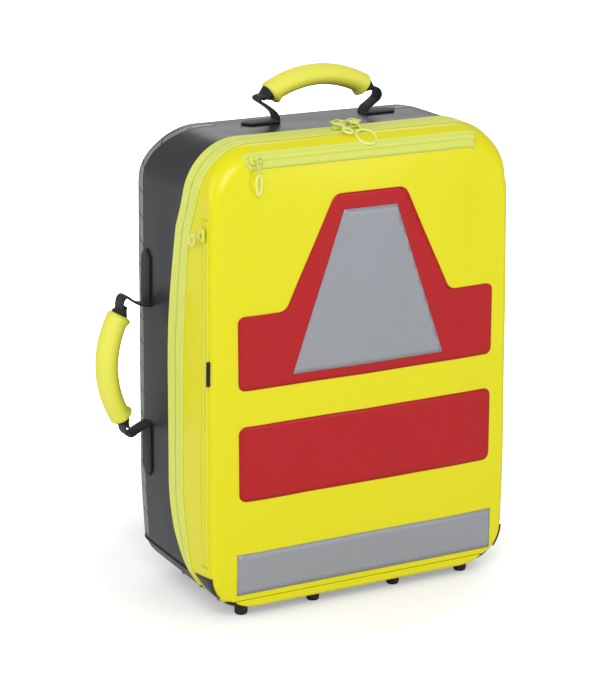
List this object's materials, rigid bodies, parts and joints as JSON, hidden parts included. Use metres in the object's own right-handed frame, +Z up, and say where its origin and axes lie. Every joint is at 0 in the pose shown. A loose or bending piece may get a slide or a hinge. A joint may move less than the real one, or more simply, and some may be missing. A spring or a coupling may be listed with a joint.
{
  "type": "trauma backpack",
  "caption": "Upright clamshell emergency backpack of coated tarpaulin with a zipped lid that folds down, padded carry handles, red and reflective front fields and shoulder straps",
  "frame": {"origin": "middle of the base of the box round the whole bag, handles and harness included, on the floor under the feet", "axes": "+X to the right seen from the front, -Y out of the front panel, +Y towards the wearer's back, +Z up"},
  "size_m": [0.457, 0.2699, 0.6124],
  "materials": {
    "shell_tarpaulin": "black PVC-coated tarpaulin, glossy, welded and sewn",
    "lid_tarpaulin": "fluorescent yellow PVC-coated tarpaulin, glossy",
    "zip_tape": "woven polyester zip tape, fluorescent yellow",
    "zip_metal": "painted die-cast zinc sliders",
    "pull_cord": "braided cord and soft moulded loop",
    "red_foil": "red heat-sealed foil",
    "reflective_tape": "silver retroreflective tape",
    "grip_cover": "soft foam sleeve, matt yellow",
    "webbing": "black polyamide webbing",
    "buckle_plastic": "black moulded acetal",
    "foot_rubber": "black moulded rubber",
    "pad_mesh": "black spacer mesh over foam",
    "lining": "grey loop lining over foam",
    "board": "polyethylene stiffener board",
    "stud_metal": "nickel-plated press stud"
  },
  "bodies": {
    "pack_body": {"main_shell": "shell_tarpaulin", "bottom_guard": "shell_tarpaulin", "feet": "foot_rubber", "back_board": "board", "divider_shelf_lower": "lining", "divider_shelf_upper": "lining", "divider_upright": "lining", "main_zip_shell_half": "zip_tape", "top_handle_anchors": "webbing", "side_handle_anchors": "webbing", "upper_back_pad": "pad_mesh", "lumbar_pad": "pad_mesh", "shoulder_yoke": "shell_tarpaulin", "sternum_buckle_body": "buckle_plastic", "reflective_strip_left": "reflective_tape", "reflective_strip_right": "reflective_tape", "shoulder_strap_left": "pad_mesh", "shoulder_strap_right": "pad_mesh", "strap_webbing_left": "webbing", "strap_webbing_right": "webbing", "ladder_lock_left": "buckle_plastic", "ladder_lock_right": "buckle_plastic", "lower_anchor_left": "webbing", "lower_anchor_right": "webbing", "sternum_keeper_left": "buckle_plastic", "sternum_keeper_right": "buckle_plastic", "sternum_webbing_right": "webbing"},
    "lid": {"lid_shell": "lid_tarpaulin", "lid_inner_panel": "lining", "lid_pockets": "lining", "main_zip_lid_half": "zip_tape", "zip_end_patches": "shell_tarpaulin", "side_pocket_zip": "zip_tape", "top_pocket_zip": "zip_tape", "red_upper_field": "red_foil", "red_lower_bar": "red_foil", "reflective_emblem": "reflective_tape", "reflective_band": "reflective_tape", "seam_tab": "shell_tarpaulin"},
    "top_handle": {"top_handle_grip": "grip_cover", "top_handle_webbing": "webbing", "top_handle_stud": "stud_metal"},
    "side_handle": {"side_handle_grip": "grip_cover", "side_handle_webbing": "webbing"},
    "sternum_plug": {"sternum_buckle_plug": "buckle_plastic", "sternum_webbing_left": "webbing"},
    "main_left_slider": {"main_left_slider": "zip_metal"},
    "main_left_pull": {"main_left_pull": "pull_cord"},
    "main_right_slider": {"main_right_slider": "zip_metal"},
    "main_right_pull": {"main_right_pull": "pull_cord"},
    "top_pocket_slider": {"top_pocket_slider": "zip_metal"},
    "top_pocket_pull": {"top_pocket_pull": "pull_cord"},
    "side_pocket_slider": {"side_pocket_slider": "zip_metal"},
    "side_pocket_pull": {"side_pocket_pull": "pull_cord"}
  },
  "joints": [
    {"name": "lid_hinge", "type": "hinge", "parent": "pack_body", "child": "lid", "pos_m": [0.0328, -0.12617, 0.024], "axis": [1, 0, 0], "range_deg": [0, 90]},
    {"name": "top_handle_swing", "type": "hinge", "parent": "pack_body", "child": "top_handle", "pos_m": [0.0378, -0.00417, 0.5619], "axis": [1, 0, 0], "range_deg": [-75, 75]},
    {"name": "side_handle_swing", "type": "hinge", "parent": "pack_body", "child": "side_handle", "pos_m": [-0.17202, 0.03583, 0.272], "axis": [0, 0, 1], "range_deg": [-75, 75]},
    {"name": "sternum_buckle_release", "type": "slide", "parent": "pack_body", "child": "sternum_plug", "axis": [-1, 0, 0], "range_m": [0, 0.02]},
    {"name": "main_left_slide", "type": "slide", "parent": "lid", "child": "main_left_slider", "axis": [-1, 0, 0], "range_m": [0, 0.1]},
    {"name": "main_left_pull_flip", "type": "hinge", "parent": "main_left_slider", "child": "main_left_pull", "pos_m": [0.0233, -0.08217, 0.5563], "axis": [-1, 0, 0], "range_deg": [0, 120]},
    {"name": "main_right_slide", "type": "slide", "parent": "lid", "child": "main_right_slider", "axis": [1, 0, 0], "range_m": [0, 0.1]},
    {"name": "main_right_pull_flip", "type": "hinge", "parent": "main_right_slider", "child": "main_right_pull", "pos_m": [0.0423, -0.08217, 0.5563], "axis": [-1, 0, 0], "range_deg": [0, 120]},
    {"name": "top_pocket_slide", "type": "slide", "parent": "lid", "child": "top_pocket_slider", "axis": [1, 0, 0], "range_m": [0, 0.265]},
    {"name": "top_pocket_pull_flip", "type": "hinge", "parent": "top_pocket_slider", "child": "top_pocket_pull", "pos_m": [-0.1032, -0.13035, 0.53707], "axis": [-1, 0, 0], "range_deg": [0, 120]},
    {"name": "side_pocket_slide", "type": "slide", "parent": "lid", "child": "side_pocket_slider", "axis": [-0.0112, 0, -0.9999], "range_m": [0, 0.37]},
    {"name": "side_pocket_pull_flip", "type": "hinge", "parent": "side_pocket_slider", "child": "side_pocket_pull", "pos_m": [-0.16357, -0.10817, 0.45408], "axis": [0.0102, 0.4226, 0.9063], "range_deg": [0, 120]}
  ]
}
